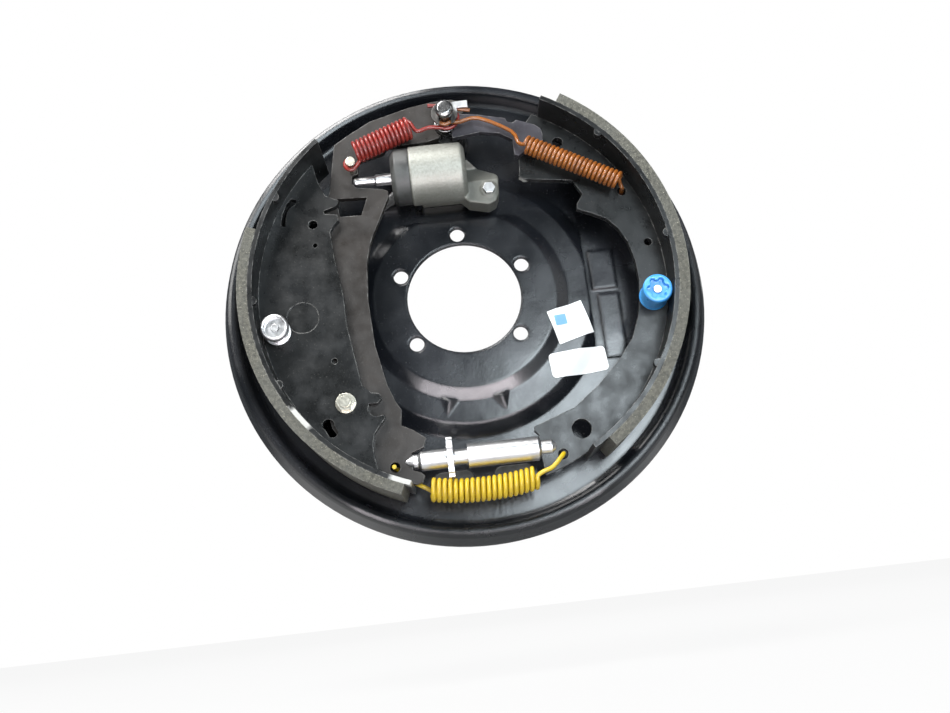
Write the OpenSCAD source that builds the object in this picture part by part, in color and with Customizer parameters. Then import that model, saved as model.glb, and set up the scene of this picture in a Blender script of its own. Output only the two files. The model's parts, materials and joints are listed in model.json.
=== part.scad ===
// Trailer drum brake with a single-ended wheel cylinder and a free-backing primary lever.
// The plate stands in the XZ plane, the open side looks along -Y, and +Z points to the anchor.
// The origin is the centre of the hub bore on the face that bolts to the axle flange.
// Depth is counted from that face towards the open side.

/* [Drum and hub] */
// Inner diameter of the drum that the linings press on
drum_d = 304.8; // [290:0.1:320]
// Bore for the axle hub
hub_bore_d = 82; // [70:0.5:86]
// Circle of the five mounting bolts
bolt_circle_d = 97; // [95:0.5:110]
// Mounting bolt hole
bolt_hole_d = 10.6; // [8:0.1:11]
// Angle from the top hole to the upper side holes
bolt_angle_upper = 65; // [60:1:72]
// Angle from the top hole to the lower side holes
bolt_angle_lower = 130; // [120:1:140]

/* [Backing plate] */
// Thickness of the pressed plate
plate_t = 3; // [2.5:0.1:3.4]
// How far the rolled skirt reaches beyond the bore of the drum
rim_reach = 23.2; // [22.6:0.1:27.6]
// Radius of the flat hub face
hub_face_r = 66.5; // [62:0.5:70]
// Height of the chord that cuts the hub face at the top
hub_chord = 61; // [58:0.5:63]
// How far the web lies behind the mounting face
web_drop = 6; // [5:0.5:7]
// How far the rolled rim stands in front of the mounting face
rim_rise = 7; // [6:0.5:8]
// Depth of the skirt behind the mounting face
skirt_drop = 11; // [10.5:0.5:13]

/* [Shoes] */
// Width of the shoe tables and linings
shoe_w = 50; // [46:1:54]
// Gap between the plate's mounting face level and the rear edge of the shoes
shoe_rear = 1; // [0.5:0.1:2]
// Thickness of the shoe webs and of the lever
web_t = 5; // [4:0.1:5]
// Thickness of the shoe tables
table_t = 3.2; // [2.5:0.1:4]
// Thickness of the linings
lining_t = 7; // [5:0.1:8]
// Clearance between new linings and the drum
drum_gap = 0.5; // [0.3:0.1:1]
// Depth of the lever and of the secondary web, at their rear face
web_depth = 21.2; // [20.5:0.1:22]
// Gap between the lever and the primary web that slides on it
slide_gap = 0.3; // [0.2:0.05:0.5]

/* [Anchor] */
// Height of the anchor post above the hub centre
anchor_z = 125; // [123:0.5:127]
// Radius of the post where the lever and the link bear
anchor_r = 8; // [7:0.1:8.5]
// Clearance round the post in its two seats
anchor_gap = 0.4; // [0.3:0.05:0.6]

/* [Wheel cylinder] */
// Height of the cylinder axis above the hub centre
cyl_z = 88.5; // [87.5:0.5:89]
// Outer radius of the casting
cyl_r = 21; // [20:0.1:21.5]
// Radius of the bore
bore_r = 14.3; // [12:0.1:15]
// Radial clearance of the piston
piston_gap = 0.05; // [0.03:0.01:0.08]
// Open end of the casting
cyl_open_x = -32; // [-33:0.5:-31]
// Closed end of the casting
cyl_end_x = 8; // [7:0.5:10]
// Radius of the thick part of the push rod
rod_r = 4.2; // [3.6:0.1:4.3]
// Radius of the slim end of the push rod
rod_tip_r = 3; // [2.5:0.1:3.2]

/* [Adjuster] */
// Height of the adjuster axis, below the hub centre
adjuster_z = -118; // [-119:0.5:-117]
// Radius of the star wheel over its teeth
star_r = 13.9; // [12.5:0.1:14]
// Number of teeth
star_teeth = 14; // [12:1:18]
// Thickness of the star wheel
star_t = 4; // [3:0.5:5]
// Radius of the long sleeve
sleeve_r = 8.1; // [7.5:0.1:8.4]
// Radius of the forked nut
nut_r = 6.6; // [6:0.1:7]
// Radius of the adjusting screw
screw_r = 4; // [3.5:0.1:4.2]
// Clearance of the screw in the nut and the sleeve
screw_gap = 0.1; // [0.06:0.01:0.1]
// Side clearance of the forks on the plates that they straddle
fork_gap = 0.5; // [0.4:0.05:0.7]

/* [Springs] */
// Coil radius of the lever's return spring, at the middle of its wire
red_coil_r = 7; // [6:0.1:7]
// Wire radius of the lever's return spring
red_wire_r = 1.4; // [1.2:0.05:1.4]
// Turns of the lever's return spring
red_turns = 13.5; // [10.5:1:13.5]
// Coil radius of the secondary shoe's return spring
brown_coil_r = 5.4; // [5:0.1:5.4]
// Wire radius of the secondary shoe's return spring
brown_wire_r = 1.4; // [1.1:0.05:1.4]
// Turns of the secondary shoe's return spring
brown_turns = 22.5; // [18.5:1:22.5]
// Coil radius of the adjuster spring
yellow_coil_r = 6.8; // [6:0.1:6.8]
// Wire radius of the adjuster spring
yellow_wire_r = 1.5; // [1.1:0.05:1.5]
// Turns of the adjuster spring
yellow_turns = 19.5; // [16.5:1:20.5]

/* [Hold-downs] */
// Radius of the left cup
left_cup_r = 9.4; // [9:0.1:9.4]
// Radius of the right cup
right_cup_r = 10; // [9:0.1:10]
// Height of the right cup in front of the web
right_cup_h = 19.5; // [17:0.5:20.5]
// Height of the left cup in front of the web
left_cup_h = 14; // [12:0.5:16]
// Radius of the hold-down pins
pin_r = 2.2; // [2:0.1:2.4]
// Radius of the holes that let the webs move round the pins
pin_hole_r = 5.4; // [5.2:0.1:6]

/* [Hidden] */
$fn = 96;
eps = 0.01;
// The outlines below are drawn for the 12 in drum and grow with the drum
k = drum_d / 304.8;
far = 400;

plate_r = drum_d / 2 + rim_reach;

// Radii of the shoes
lining_r = drum_d / 2 - drum_gap;
table_r = lining_r - lining_t;
table_in_r = table_r - table_t;
// Depths, counted from the mounting face towards the open side
web_front = web_depth + web_t;
lever_mid = web_depth + web_t / 2;
primary_depth = web_front + slide_gap;
primary_front = primary_depth + web_t;
link_front = web_front + web_t;
shoe_front = shoe_rear + shoe_w;
plate_front = -web_drop;
plate_back = -web_drop - plate_t;
rest_gap = 0.3;
// Places of the joints and fixings, as [x, z]
anchor = [0, anchor_z * k];
pivot = [-87, -75] * k;
nut_tip_x = -47 * k;
left_hold = [-129.3, -20.8] * k;
right_hold = [129.5, -22.5] * k;
lever_spring_hole = [-58.5, -120.5] * k;
shoe_spring_hole = [53, -124] * k;
return_hole = [120, 59] * k;
spring_post = [-70, 97] * k;
pivot_pin_r = 4;
pivot_gap = 0.1;
post_pin_r = 2.6;
// Wheel cylinder at the size of the drum
cyl_mid_z = cyl_z * k;
cyl_body_r = cyl_r * k;
cyl_bore_r = bore_r * k;
cyl_open = cyl_open_x * k;
cyl_end = cyl_end_x * k;

// Flat shape drawn in x and z, raised from one depth by a thickness
module lay(depth, t) {
    translate([0, -depth, 0]) rotate([90, 0, 0]) linear_extrude(t) children();
}

// Round bar that points to the open side
module bar(at, depth, r, len, r_end = -1) {
    translate([at[0], -depth, at[1]]) rotate([90, 0, 0])
        cylinder(h = len, r1 = r, r2 = r_end < 0 ? r : r_end);
}

// Round bar along x, from x0 to x1, on the axis [height, depth]
module rod_x(x0, x1, axis, r, r_end = -1) {
    translate([x0, -axis[1], axis[0]]) rotate([0, 90, 0])
        cylinder(h = x1 - x0, r1 = r, r2 = r_end < 0 ? r : r_end);
}

// Turned form about the hub axis, from points [radius, depth]
module spun(points) {
    rotate([90, 0, 0]) rotate_extrude() polygon(points);
}

function unit(v) = v / norm(v);
function turn(v) = [v[1], -v[0]];
function mitre(p, i, t) =
    let (n = len(p),
        a = turn(unit(p[max(i, 1)] - p[max(i, 1) - 1])),
        b = turn(unit(p[min(i + 1, n - 1)] - p[min(i, n - 2)])),
        m = unit(a + b))
    p[i] + m * t / (m * a);
// Closed outline of a sheet of thickness t behind an open line
function sheet(p, t) = concat(p, [for (i = [len(p) - 1:-1:0]) mitre(p, i, t)]);

function polar(r, a) = [r * sin(a), r * cos(a)];
function arc(r, a0, a1, n) = [for (i = [0:n]) polar(r, a0 + (a1 - a0) * i / n)];

// Pie slice between two angles, counted clockwise from the top
module slice(a0, a1) {
    polygon(concat([[0, 0]], arc(far, a0, a1, 8)));
}

module arc_band(r_in, r_out, a0, a1) {
    intersection() {
        difference() {
            circle(r = r_out, $fn = 180);
            circle(r = r_in, $fn = 180);
        }
        slice(a0, a1);
    }
}

// Backing plate

// Front skin of the outer web, the drum groove and the rolled rim, as [radius, depth]
groove_r = plate_r - 17;
rim_line = [[104, plate_front], [groove_r, plate_front], [groove_r + 2.2, plate_front + 1.4],
    [groove_r + 4, rim_rise - 3], [groove_r + 5.4, rim_rise - 0.8], [groove_r + 8, rim_rise],
    [groove_r + 10.6, rim_rise - 0.6], [groove_r + 12.4, rim_rise - 4], [plate_r, -skirt_drop]];
shelf_depth = plate_front / 2 + 2.5;
shelf_r = 91;
shelf_foot_r = 101.5;
shelf_side_x = 90;
pad_angles = [-150, -98, -48, 48, 98, 140];
pad_ring_r = table_r - 3.5;

// Raised centre of the plate: solid from the depth back, grown by g
module centre_form(g, back) {
    intersection() {
        union() {
            bar([0, 0], back, shelf_foot_r + g, plate_front - back);
            bar([0, 0], plate_front, shelf_foot_r + g, shelf_depth - plate_front, shelf_r + g);
        }
        translate([-far, -far, -far]) cube([far + shelf_side_x + g, 2 * far, 2 * far]);
        // Flat seat of the wheel cylinder
        difference() {
            translate([-far, -far, -far]) cube(2 * far);
            translate([-28 * k + g, -far, cyl_mid_z - 20 * k + g]) cube([50 * k - 2 * g, far - plate_front, far]);
        }
    }
    intersection() {
        bar([0, 0], shelf_depth - eps, hub_face_r + 9 + g, plate_t - shelf_depth + eps, hub_face_r + g);
        translate([-far, -far, -far]) cube([2 * far, 2 * far, far + hub_chord + g]);
    }
}

// Low pressed panel with sloping ends, from one corner to the other
module panel(x0, z0, x1, z1, rise) {
    lay(plate_front - plate_t / 2, plate_t / 2 + rise)
        translate([x0, z0]) square([x1 - x0, z1 - z0]);
}

// Three-sided corner gusset pressed on the shelf, against the foot of the hub face
module gusset(a) {
    w = 9;
    r0 = hub_face_r + 8.6;
    r1 = shelf_r - 0.6;
    low = -shelf_depth + 0.8;
    rotate([0, a, 0]) polyhedron(
        points = [[-w, low, -r0 + 2], [w, low, -r0 + 2], [0, -shelf_depth - gusset_rise, -r0 - 1], [0, low, -r1]],
        faces = [[0, 1, 2], [1, 3, 2], [3, 0, 2], [0, 3, 1]]);
}

gusset_rise = 3.4;
panel_rise = 1.6;
panel_in_x = shelf_side_x + 4;
panel_out_x = shelf_side_x + 22;
bolt_angles = [0, bolt_angle_upper, bolt_angle_lower, -bolt_angle_lower, -bolt_angle_upper];
plug_places = [[-21, -129], [21, -129]] * k;
cyl_bolt_places = [[-16, cyl_z], [10, cyl_z]] * k;
inlet_place = [-3, cyl_z] * k;
bleed_r = 3.4;
bleed_gap = 0.06;
bleed_place = [-3, cyl_z + 11] * k;

module backing_plate() color([0.07, 0.075, 0.08]) difference() {
    union() {
        spun(sheet(rim_line, plate_t));
        difference() {
            union() {
                bar([0, 0], plate_back, 108, plate_t);
                centre_form(0, plate_back);
            }
            translate([0, plate_t, 0]) centre_form(-plate_t * 0.8, plate_back - 10);
        }
        for (a = pad_angles) bar(polar(pad_ring_r, a), plate_front - plate_t / 2, 9,
            shoe_rear - rest_gap - plate_front + plate_t / 2, 6.5);
        panel(panel_in_x, -2, panel_out_x, 28, panel_rise);
        panel(panel_in_x + 3, -54, panel_out_x, -6, panel_rise);
        gusset(-14);
        gusset(14);
        // Boss that carries the anchor post
        bar(anchor, plate_front - plate_t / 2, 17, boss_front - plate_front + plate_t / 2, 15);
    }
    bar([0, 0], -far, hub_bore_d / 2, 2 * far);
    for (a = bolt_angles) bar(polar(bolt_circle_d / 2, a), -far, bolt_hole_d / 2, 2 * far);
    bar(anchor, -far, anchor_r - 1.5, 2 * far);
    for (p = cyl_bolt_places) bar(p, -far, 3.6, 2 * far);
    bar(inlet_place, -far, 6, 2 * far);
    bar(bleed_place, -far, bleed_r + 1, 2 * far);
    for (p = [left_hold, right_hold]) bar(p, -far, pin_r + 0.5, 2 * far);
    for (p = plug_places) translate([0, far, 0]) lay(0, 2 * far) plug_outline(p, 0);
}

// Slot with round ends that gives access to the star wheel, grown by g
module plug_outline(p, g) {
    translate(p) {
        translate([-8, 0]) circle(r = 5 + g, $fn = 48);
        translate([8, 0]) circle(r = 5 + g, $fn = 48);
        square([16, 10 + 2 * g], center = true);
    }
}

module plate_plugs() color([0.05, 0.05, 0.055]) for (p = plug_places) {
    lay(plate_back - 1.8, 1.8) plug_outline(p, 2.5);
    lay(plate_back, plate_t) plug_outline(p, -0.05);
    lay(plate_front, 1) plug_outline(p, 1);
}

// Anchor

boss_front = -2;
collar_front = web_depth - slide_gap;
knob_front = 53;
neck_r = 5.2;

module anchor_post() color([0.55, 0.56, 0.56]) {
    bar(anchor, plate_back - 12, anchor_r - 1.6, boss_front - plate_back + 12);
    bar(anchor, boss_front, anchor_r - 1.6, collar_front - boss_front);
    bar(anchor, collar_front, anchor_r, link_front + 0.6 - collar_front);
    bar(anchor, link_front + 0.6, neck_r, knob_front - 4 - link_front - 0.6);
    bar(anchor, knob_front - 8, neck_r, 3, 6.4);
    bar(anchor, knob_front - 5, 6.4, 3.5);
    bar(anchor, knob_front - 1.5, 6.4, 1.5, 4.6);
}

module anchor_collar() color([0.12, 0.12, 0.13]) difference() {
    union() {
        translate([anchor[0], -boss_front, anchor[1]]) rotate([90, 0, 0]) cylinder(h = 9, r = 14.5, $fn = 6);
        bar(anchor, boss_front + 9, 13, 3);
        bar(anchor, boss_front + 12, 11, collar_front - boss_front - 12);
    }
    bar(anchor, -far, anchor_r - 1.55, 2 * far);
}

module anchor_nut() color([0.6, 0.6, 0.58]) difference() {
    union() {
        translate([anchor[0], -plate_back + 8, anchor[1]]) rotate([90, 0, 0]) cylinder(h = 6.6, r = 12, $fn = 6);
        bar(anchor, plate_back - 1.4, 13.5, 1.4);
    }
    bar(anchor, -far, anchor_r - 1.55, 2 * far);
}

clip_depth = knob_front - 8.6;
// Flat retaining clip in the groove behind the knob, with a tail to the right
module anchor_clip() color([0.8, 0.81, 0.82]) lay(clip_depth - 1.6, 1.6) translate(anchor) difference() {
    union() {
        circle(r = 9.4);
        translate([0, 3.4]) square([17, 5]);
    }
    circle(r = neck_r + 0.05);
    translate([-4.2, -12]) square([8.4, 12]);
}

// Wheel cylinder

cyl_axis = [cyl_mid_z, lever_mid];
bore_end_x = cyl_end - 5;
piston_back_x = cyl_open + 6;
piston_front_x = piston_back_x + 17;
cup_t = 5;
rod_reach = 38;
rod_tip_x = cyl_open - rod_reach * k;
rod_step_x = rod_tip_x + 15 * k;
nose = [[-3, 12], [5, 12], [24.5, -2.5], [26, -6], [25, -20], [22.5, -25.5], [17, -28], [3, -24.5], [-3, -18]];
nose_bolt = [cyl_end_x + 18, cyl_z - 16.5] * k;
boot_x = cyl_open - 10.5;

module cylinder_body() color([0.5, 0.5, 0.47]) difference() {
    union() {
        rod_x(cyl_open + 3, cyl_end, cyl_axis, cyl_body_r);
        rod_x(cyl_open, cyl_open + 3, cyl_axis, cyl_body_r - 2);
        rod_x(cyl_end, cyl_end + 3, cyl_axis, cyl_body_r, cyl_body_r - 4);
        // Base that seats on the web of the plate
        translate([-23 * k, -lever_mid, cyl_mid_z - 12 * k]) cube([32 * k, lever_mid - plate_front - 2, 28.5 * k]);
        bar(cyl_bolt_places[0], plate_front, 8, 6);
        bar(cyl_bolt_places[1], plate_front, 8, 6);
        translate([-23 * k, -plate_front - 6, cyl_mid_z - 12 * k]) cube([32 * k, 6, 28.5 * k]);
        // Wedge-shaped nose at the closed end, with the seat of its bolt
        lay(9, lever_mid + 1 - 9) polygon([for (p = nose) [cyl_end_x + p[0], cyl_z + p[1]] * k]);
        bar(nose_bolt, 9, 6, lever_mid + 2 - 9);
        // Small boss on top
        translate([-19 * k, -13, cyl_mid_z + 10 * k]) cylinder(h = cyl_body_r - 6 * k, r1 = 5.2, r2 = 4.2);
    }
    rod_x(cyl_open - eps, bore_end_x, cyl_axis, cyl_bore_r);
    for (p = cyl_bolt_places) bar(p, plate_front - 1, 3.2, 9);
    bar(inlet_place, plate_front - 1, 4.6, 9);
    bar(nose_bolt, lever_mid - 4, 3.4, 20);
    bar(bleed_place, plate_front - 1, bleed_r + bleed_gap, 8);
}

module cylinder_bolts() color([0.62, 0.62, 0.58]) {
    for (p = cyl_bolt_places) {
        bar(p, plate_back - 1.2, 3.15, plate_t + 8.6);
        translate([p[0], -plate_back + 5.6, p[1]]) rotate([90, 0, 0]) cylinder(h = 4.4, r = 6, $fn = 6);
        bar(p, plate_back - 1.2, 6.6, 1.2);
    }
    bar(nose_bolt, lever_mid - 4, 3.35, 6);
    translate([nose_bolt[0], -lever_mid - 2, nose_bolt[1]]) rotate([90, 0, 0]) cylinder(h = 2.6, r = 4.4, $fn = 6);
}

module bleeder_screw() color([0.66, 0.62, 0.45]) difference() {
    union() {
        bar(bleed_place, plate_back - 4, bleed_r, plate_t + 10.5);
        translate([bleed_place[0], -plate_back + 10, bleed_place[1]]) rotate([90, 0, 0])
            cylinder(h = 6, r = 4.8, $fn = 6);
        bar(bleed_place, plate_back - 18, 2.6, 8, 3.4);
    }
    bar(bleed_place, plate_back - 19, 1.1, 16);
}

module piston() color([0.72, 0.72, 0.7]) difference() {
    rod_x(piston_back_x, piston_front_x, cyl_axis, cyl_bore_r - piston_gap);
    rod_x(piston_back_x - 1, piston_back_x + 8, cyl_axis, rod_r + 0.05);
}

module piston_cup() color([0.08, 0.08, 0.08]) difference() {
    rod_x(piston_front_x, piston_front_x + cup_t, cyl_axis, cyl_bore_r - 0.3);
    rod_x(piston_front_x + 2, piston_front_x + cup_t + 1, cyl_axis, cyl_bore_r - 4, cyl_bore_r - 2);
}

module cylinder_spring() color([0.6, 0.6, 0.6]) wire(
    coil([piston_front_x + 2.9, lever_mid, cyl_mid_z], [bore_end_x - 0.9, lever_mid, cyl_mid_z], cyl_bore_r - 5.9,
        2.5, 10, 0), 0.8, 6);

module push_rod() color([0.78, 0.79, 0.8]) {
    rod_x(rod_tip_x, rod_tip_x + 1, cyl_axis, rod_tip_r - 0.6, rod_tip_r);
    rod_x(rod_tip_x + 1, rod_step_x, cyl_axis, rod_tip_r);
    rod_x(rod_step_x, rod_step_x + 1, cyl_axis, rod_tip_r, rod_r);
    rod_x(rod_step_x + 1, piston_back_x + 8, cyl_axis, rod_r);
}

module dust_boot() color([0.2, 0.2, 0.2]) difference() {
    union() {
        rod_x(boot_x + 3, cyl_open + 3, cyl_axis, cyl_body_r - 1);
        rod_x(boot_x, boot_x + 3, cyl_axis, cyl_body_r - 5, cyl_body_r - 1);
    }
    rod_x(boot_x + 2.4, cyl_open, cyl_axis, cyl_body_r - 3);
    rod_x(cyl_open - eps, cyl_open + 4, cyl_axis, cyl_body_r - 2);
    rod_x(boot_x - 1, boot_x + 3, cyl_axis, rod_r + 0.3);
}

// Free-backing lever, which the push rod drives and which carries the primary shoe

lever_outline = [
    // Head round the anchor, over its top, and the outer edge
    [14, 134.4], [15, 142.5], [6, 145.8], [-8, 145.4], [-26, 142.5], [-55, 134.5], [-72, 125], [-82, 118.5],
    // Outer edge behind the shoe
    [-84.5, 103], [-87.5, 83], [-97, 50], [-103, 10], [-105, -35], [-103.5, -65], [-98, -90], [-87, -107],
    [-78, -114], [-67, -122.5],
    // Lobe for the adjuster spring, lower jaw and upper jaw of the fork seat
    [-60, -125.5], [-53, -130], [-46, -133], [-41.5, -132.5], [-39.5, -128], [-42, -125.6], [-47, -123.8],
    [-47, -112.2], [-42, -110.4], [-38.5, -109], [-36.5, -103], [-45, -96.5], [-52, -93], [-51, -82], [-54, -77],
    // Inner edge up to the notch for the push rod
    [-59, -64], [-65, -35], [-67, -2], [-65.5, 25], [-62.5, 38], [-60, 44.5], [-46.5, 73], [-46, 78],
    [-49.5, 80], [-68.5, 83.2], [-71.2, 86.5], [-71, 92.6], [-66.5, 94], [-66, 103.5], [-52, 107], [-47, 108.5],
    [-44.5, 112.6], [-15, 113.5], [-6, 115.8]];
lever_window = [[-83, 76], [-61.5, 75], [-66.5, 61.5], [-82, 62]];

module primary_lever() color([0.27, 0.255, 0.25]) lay(web_depth, web_t) difference() {
    polygon(lever_outline * k);
    translate(anchor) circle(r = anchor_r + anchor_gap);
    translate(anchor) translate([0, -anchor_r - anchor_gap]) square([20, 2 * (anchor_r + anchor_gap)]);
    polygon(lever_window * k);
    translate(lever_spring_hole) circle(r = 3.4);
    translate(pivot) circle(r = pivot_pin_r - 0.05);
    translate(spring_post) circle(r = post_pin_r - 0.6);
}

module pivot_pin() color([0.7, 0.68, 0.6]) {
    bar(pivot, web_depth - 2.5, 7, 2.5);
    bar(pivot, web_depth, pivot_pin_r - 0.05, web_t);
    bar(pivot, web_front, pivot_pin_r - pivot_gap, primary_front + 7 - web_front);
}

module pivot_nut() color([0.78, 0.75, 0.6]) difference() {
    union() {
        translate([pivot[0], -primary_front - rest_gap - 1.2, pivot[1]]) rotate([90, 0, 0])
            cylinder(h = 4.6, r = 6.3, $fn = 6);
        bar(pivot, primary_front + rest_gap, 6.9, 1.2);
    }
    bar(pivot, 0, pivot_pin_r - pivot_gap, far);
}

module spring_pin() color([0.85, 0.83, 0.72]) {
    bar(spring_post, web_depth, post_pin_r - 0.6, web_t);
    bar(spring_post, web_front, post_pin_r, 13);
    bar(spring_post, web_front + 13, post_pin_r + 0.8, 1.6);
}

// Shoes

primary_table = [-160.5, -39.5];
primary_lining_span = [-159, -70.5];
secondary_table = [28.5, 150.5];
secondary_lining_span = [33, 146];
primary_outline = [
    // Top corner on the table, the two fingers and the back of the notch
    [-98, 102], [-95, 88], [-90.5, 77], [-84, 73.5], [-81.5, 72.5], [-82, 69.5], [-84, 68], [-92.5, 65.5],
    [-92, 63], [-83, 61.5], [-82.5, 57.5], [-86, 54], [-89, 49],
    // Inner edge down to the pivot
    [-87.5, 30], [-83, -1], [-82.5, -20], [-75.5, -64], [-69.5, -69.5], [-64.5, -70.5], [-63, -74],
    // Small hooked notch and the lower edge
    [-66, -77], [-72, -77], [-73, -82], [-69, -86], [-62, -85.5], [-62, -88], [-66, -92.5], [-70, -98],
    [-71.5, -105], [-71, -113], [-68.5, -126], [-90, -140], [-170, -60], [-170, 60], [-130, 120]];
secondary_outline = [
    // Upper end behind the link, its lower tab, and the hook
    [66, 130], [52, 113], [49.5, 84], [48.5, 79], [51.5, 76.5], [86, 71.5], [92, 60], [87, 53], [86.5, 49.5],
    [89.5, 47.5], [96, 45], [106, 39.5],
    // Inner edge
    [113, 31.5], [118.5, 20], [121.5, 6], [122, -9], [120.5, -22], [117.5, -34], [111, -49.5], [100, -63.5],
    [83, -80], [65, -93.5], [48, -99.5], [36.5, -103.5], [36, -106.5], [38.5, -109], [38.5, -124], [40, -136],
    [66, -150], [170, -60], [170, 60], [120, 150]];
nib_r = 3;
// Angles of the nibs pressed in the tables, beside the web
primary_nibs = [-116, -91, -60];
secondary_nibs = [48, 84, 122];
// Round pad pressed into the primary web
web_pad = [-112, -12] * k;
web_pad_r = 11;
hook_slot = [[-123, 57], [-121.5, 66], [-118.5, 73], [-115, 77], [-111, 76], [-112, 72.5], [-116, 70.5],
    [-118.5, 66], [-120, 56.5]];

module shoe_table(span, nibs) {
    lay(shoe_rear, shoe_w) arc_band(table_in_r, table_r, span[0], span[1]);
    for (a = nibs) intersection() {
        lay(shoe_front - 5, 4.6) arc_band(table_in_r - nib_r, table_in_r + 1, a - 3, a + 3);
        bar(polar(table_in_r, a), shoe_front - 5, nib_r, 4.6);
    }
}

module shoe_web(outline, depth) {
    lay(depth, web_t) intersection() {
        circle(r = table_in_r + 0.6, $fn = 180);
        polygon(outline * k);
    }
}

module primary_shoe() color([0.13, 0.135, 0.14]) difference() {
    union() {
        shoe_table(primary_table, primary_nibs);
        shoe_web(primary_outline, primary_depth);
    }
    bar(pivot, 0, pivot_pin_r, far);
    bar(left_hold, 0, pin_hole_r, far);
    bar(polar(115, -61) * k, 0, 3.2, far);
    bar([-100, 40] * k, 0, 1.6, far);
    bar([-92.5, -45] * k, 0, 2, far);
    lay(0, far) polygon(hook_slot * k);
    // Long access hole in the lower end of the web
    lay(0, far) translate([-98.5, -91] * k) rotate(24) {
        translate([0, 3]) circle(r = 3.9, $fn = 48);
        translate([0, -3]) circle(r = 3.3, $fn = 48);
        square([6.6, 6], center = true);
    }
    bar(web_pad, primary_front - 0.5, web_pad_r, 1);
}

module primary_lining() color([0.33, 0.33, 0.29])
    lay(shoe_rear, shoe_w) arc_band(table_r, lining_r, primary_lining_span[0], primary_lining_span[1]);

module secondary_shoe() color([0.15, 0.16, 0.165]) difference() {
    union() {
        shoe_table(secondary_table, secondary_nibs);
        shoe_web(secondary_outline, web_depth);
    }
    bar(right_hold, 0, pin_hole_r, far);
    bar([67.5, -108.5] * k, 0, 6.6, far);
    bar(shoe_spring_hole, 0, 3.4, far);
    bar(return_hole, 0, 3.2, far);
    bar([132.5, 18.5] * k, 0, 2.8, far);
    bar([79.5, 102.5] * k, 0, 3.8, far);
}

module secondary_lining() color([0.36, 0.36, 0.31])
    lay(shoe_rear, shoe_w) arc_band(table_r, lining_r, secondary_lining_span[0], secondary_lining_span[1]);

// Link that lets the secondary shoe bear on the anchor, on the front of its web
link_outline = [[4, 131], [20, 129.5], [43.5, 123.5], [45, 120.5], [48.5, 119.2], [51.5, 121.2], [64, 116],
    [68, 112.5], [69, 108.5], [68.5, 101], [58, 98], [50, 92.5], [47, 94], [47, 106], [38, 112], [24, 114.5],
    [4, 112]];
module anchor_link() color([0.45, 0.43, 0.47]) lay(web_front, web_t) difference() {
    polygon(link_outline * k);
    translate(anchor) circle(r = anchor_r + anchor_gap);
    translate(anchor) translate([-20, -20]) square([20 + eps, 40]);
}

// Adjuster

adjuster_axis = [adjuster_z * k, lever_mid];
web_edge_x = 38.5 * k;
sleeve_end_x = web_edge_x - 1.5;
sleeve_start_x = sleeve_end_x - 47;
star_x = sleeve_start_x - 11.6;
sleeve_bore = 26;
nut_end_x = star_x - star_t / 2 - 0.4;
nut_start_x = nut_end_x - 17;
fork_w = web_t + 2 * fork_gap;
seat_gap = 0.4;
cap_r = 5.4;

module adjuster_sleeve() color([0.75, 0.76, 0.77]) difference() {
    union() {
        rod_x(sleeve_start_x, sleeve_end_x, adjuster_axis, sleeve_r);
        rod_x(sleeve_end_x, sleeve_end_x + 2, adjuster_axis, sleeve_r, cap_r + 0.8);
        rod_x(sleeve_end_x + 2, sleeve_end_x + 9, adjuster_axis, cap_r);
        rod_x(sleeve_end_x + 9, sleeve_end_x + 12, adjuster_axis, cap_r, cap_r - 2);
    }
    rod_x(sleeve_start_x - 1, sleeve_start_x + sleeve_bore, adjuster_axis, screw_r + screw_gap);
    translate([web_edge_x - 0.4, -lever_mid - fork_w / 2, adjuster_axis[0] - 20]) cube([40, fork_w, 40]);
}

module star_screw() color([0.7, 0.71, 0.72]) {
    rod_x(nut_end_x - 13, sleeve_start_x + sleeve_bore - 4, adjuster_axis, screw_r);
    rod_x(star_x + star_t / 2, sleeve_start_x - 0.4, adjuster_axis, 5.2);
    translate([star_x - star_t / 2, -lever_mid, adjuster_axis[0]]) rotate([0, 90, 0]) linear_extrude(star_t)
        difference() {
            circle(r = star_r);
            for (i = [0:star_teeth - 1]) rotate(i * 360 / star_teeth) translate([star_r, 0]) rotate(45)
                square(3.3, center = true);
        }
}

module adjuster_nut() color([0.75, 0.76, 0.77]) difference() {
    union() {
        rod_x(nut_start_x, nut_end_x, adjuster_axis, nut_r);
        rod_x(nut_start_x - 2.4, nut_start_x, adjuster_axis, nut_r - 2, nut_r);
        rod_x(nut_start_x - 5, nut_start_x - 2.4, adjuster_axis, nut_r - 1.6);
        rod_x(nut_start_x - 10.5, nut_start_x - 5, adjuster_axis, nut_r - 3.6, nut_r - 1.6);
    }
    rod_x(nut_end_x - 14, nut_end_x + 1, adjuster_axis, screw_r + screw_gap);
    translate([nut_tip_x + seat_gap - far, -lever_mid - fork_w / 2, -far / 2]) cube([far, fork_w, far]);
}

// Springs

function cross_unit(a, b) = unit(cross(a, b));
// Coil from a to b, both [x, depth, z], that sags by bow at its middle
function coil(a, b, r, turns, per_turn, phase, bow = 0) =
    let (p = [a[0], -a[1], a[2]], q = [b[0], -b[1], b[2]], d = unit(q - p),
        side = abs(d[1]) > 0.9 ? [1, 0, 0] : [0, 1, 0],
        u = cross_unit(d, side), v = cross(d, u), n = round(turns * per_turn))
    [for (i = [0:n]) let (s = i / n, w = phase + 360 * turns * s)
        p + (q - p) * s + u * r * cos(w) + v * r * sin(w) - [0, 0, bow * (1 - pow(2 * s - 1, 2))]];
// Part of a ring round [x, depth, z] in the plane of the shoes, from angle w0 to w1
function ring(c, r, w0, w1, n) = [for (i = [0:n]) let (w = w0 + (w1 - w0) * i / n)
    [c[0] + r * cos(w), -c[1], c[2] + r * sin(w)]];
function front(p) = [p[0], -p[1], p[2]];

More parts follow.
